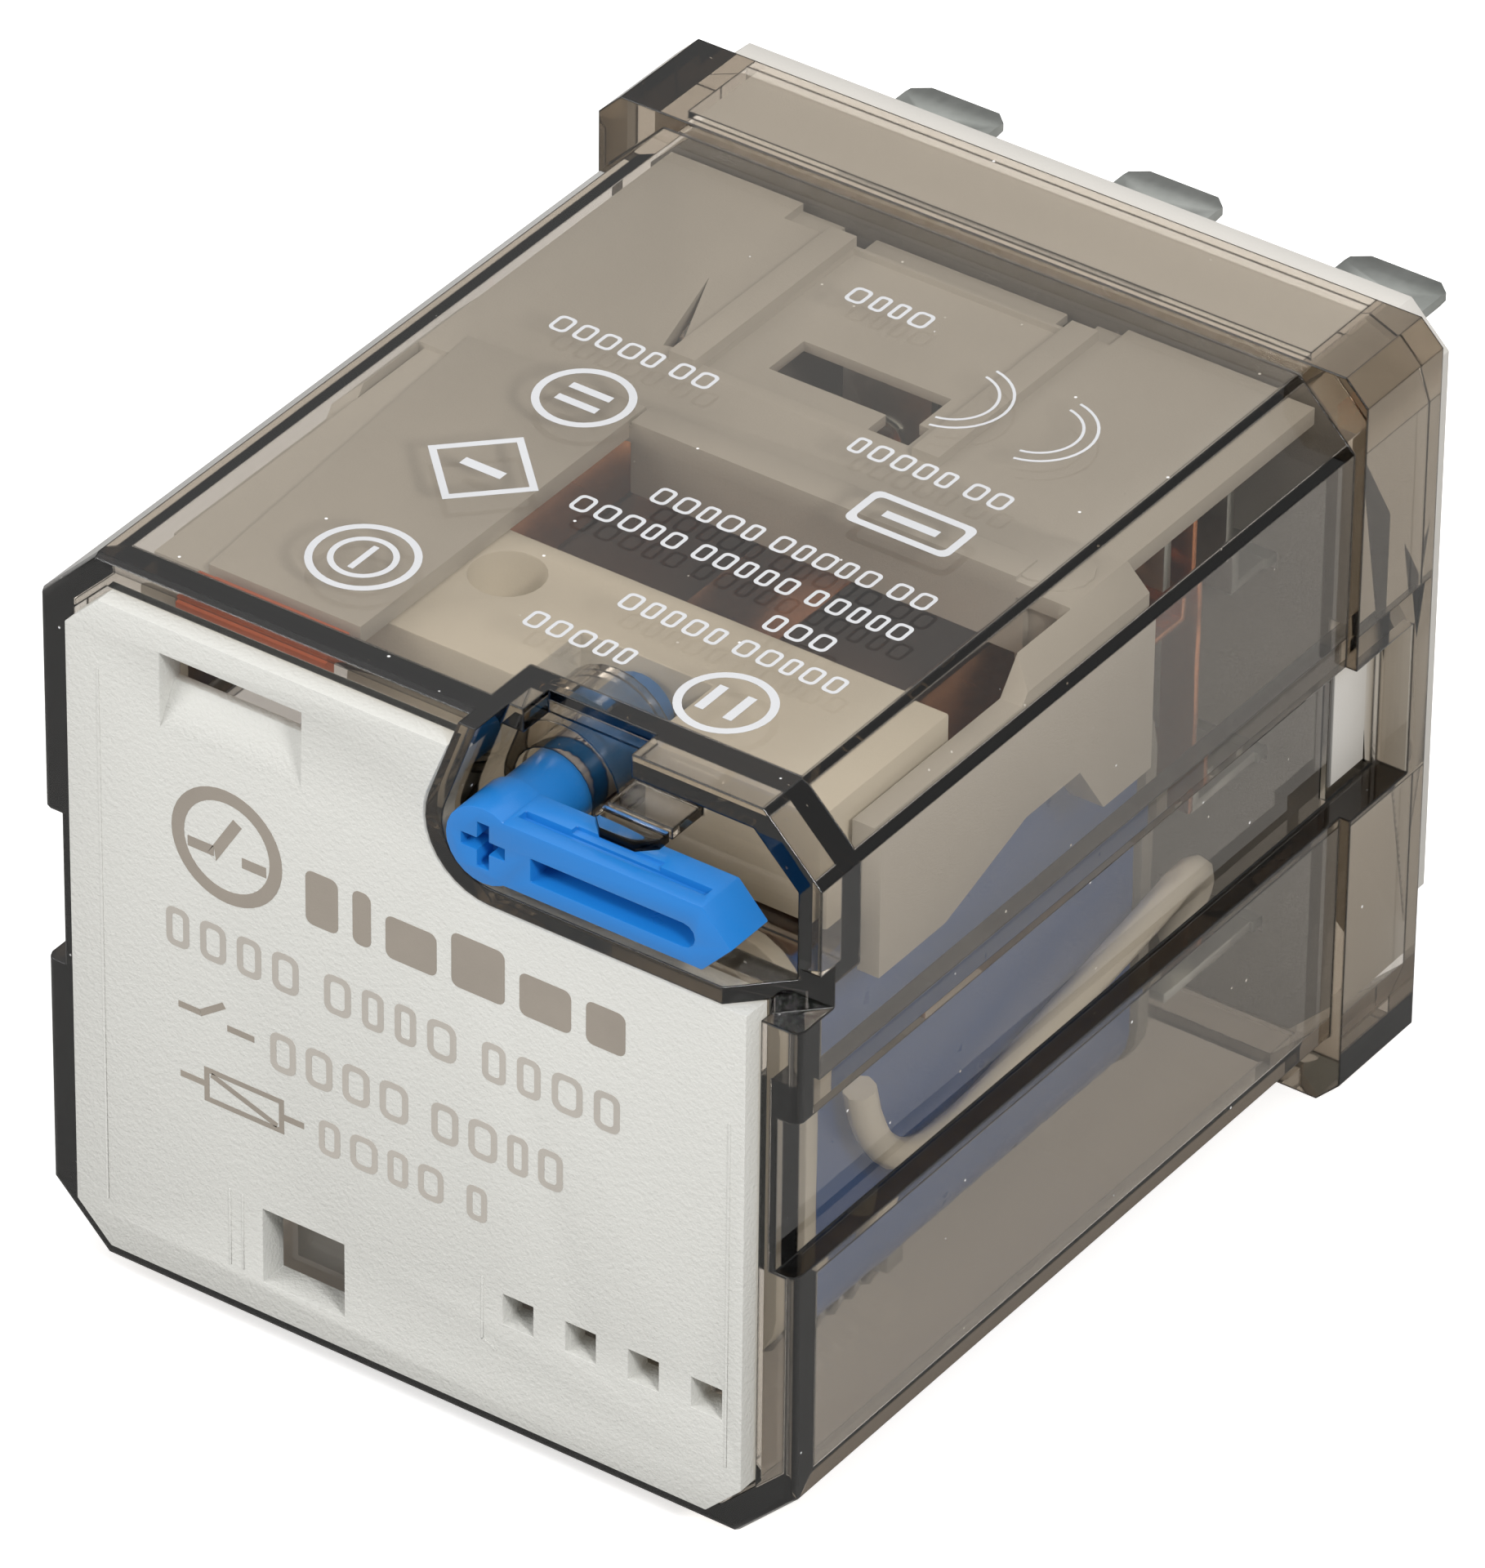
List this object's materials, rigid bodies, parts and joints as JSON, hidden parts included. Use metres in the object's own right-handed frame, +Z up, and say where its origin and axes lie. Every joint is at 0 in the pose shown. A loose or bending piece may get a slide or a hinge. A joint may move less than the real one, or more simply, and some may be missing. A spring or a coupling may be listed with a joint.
{
  "type": "industrial control relay",
  "caption": "Plug-in power relay with a smoked clear cover, a test lever, a flag indicator, three changeover contacts and flat tab terminals.",
  "frame": {"origin": "centre of the base's seating face, which meets the socket", "axes": "+Y out of the terminals, +Z up with the relay lying on its long side, +X to the right seen from the label"},
  "size_m": [0.0382, 0.0558, 0.0362],
  "materials": {
    "smoked_polycarbonate": "polished, smoked",
    "label_grey": "fine grain",
    "base_grey": "moulded",
    "lever_blue": "satin",
    "flag_orange": "moulded",
    "ivory_plastic": "moulded",
    "coil_tape_blue": "wrapped tape",
    "bobbin_white": "moulded",
    "enamelled_copper": "enamelled wire",
    "spring_copper": "rolled strip",
    "tinned_brass": "tin plated",
    "contact_silver": "silver alloy",
    "zinc_plated_steel": "zinc plated",
    "spring_steel": "drawn wire"
  },
  "bodies": {
    "housing": {"cover": "smoked_polycarbonate", "label_plate": "label_grey", "base": "base_grey", "contact_frame": "base_grey", "nc_terminal_1": "tinned_brass", "nc_terminal_2": "tinned_brass", "nc_terminal_3": "tinned_brass", "no_terminal_1": "tinned_brass", "no_terminal_2": "tinned_brass", "no_terminal_3": "tinned_brass", "common_terminal_1": "tinned_brass", "common_terminal_2": "tinned_brass", "common_terminal_3": "tinned_brass", "coil_terminal_1": "tinned_brass", "coil_terminal_2": "tinned_brass", "nc_contact_1": "contact_silver", "nc_contact_2": "contact_silver", "nc_contact_3": "contact_silver", "no_contact_1": "contact_silver", "no_contact_2": "contact_silver", "no_contact_3": "contact_silver", "core": "zinc_plated_steel", "bobbin": "bobbin_white", "coil_winding": "enamelled_copper", "coil_tape": "coil_tape_blue", "yoke": "zinc_plated_steel", "return_spring": "spring_steel", "coil_lead_1": "bobbin_white", "coil_lead_2": "bobbin_white"},
    "pip": {"break_off_pip": "smoked_polycarbonate"},
    "lever": {"test_lever": "lever_blue"},
    "armature": {"armature": "zinc_plated_steel", "contact_carrier": "ivory_plastic", "drive_spring_1": "spring_copper", "drive_spring_2": "spring_copper", "drive_spring_3": "spring_copper"},
    "contacts": {"moving_spring_1": "spring_copper", "moving_spring_2": "spring_copper", "moving_spring_3": "spring_copper", "moving_contact_1": "contact_silver", "moving_contact_2": "contact_silver", "moving_contact_3": "contact_silver"},
    "flag": {"indicator_flag": "flag_orange"}
  },
  "joints": [
    {"name": "lever_turn", "type": "hinge", "parent": "housing", "child": "pip", "pos_m": [0.0043, -0.0475, 0.01235], "axis": [0, -1, 0], "range_deg": [0, 64]},
    {"name": "lever_push", "type": "slide", "parent": "pip", "child": "lever", "axis": [0, 1, 0], "range_m": [0, 0.00155]},
    {"name": "armature_tilt", "type": "hinge", "parent": "housing", "child": "armature", "pos_m": [0, -0.04135, -0.0149], "axis": [-1, 0, 0], "range_deg": [0, 3.3]},
    {"name": "contact_swing", "type": "hinge", "parent": "housing", "child": "contacts", "pos_m": [0, -0.01165, -0.0016], "axis": [-1, 0, 0], "range_deg": [0, 5.5]},
    {"name": "flag_tip", "type": "hinge", "parent": "housing", "child": "flag", "pos_m": [0, -0.0375, 0.014], "axis": [1, 0, 0], "range_deg": [0, 14]}
  ],
  "couplings": [
    {"joint": "armature_tilt", "follows": "lever_push", "rad_per_m": 36.7},
    {"joint": "contact_swing", "follows": "lever_push", "rad_per_m": 61.9},
    {"joint": "flag_tip", "follows": "lever_push", "rad_per_m": 157}
  ]
}
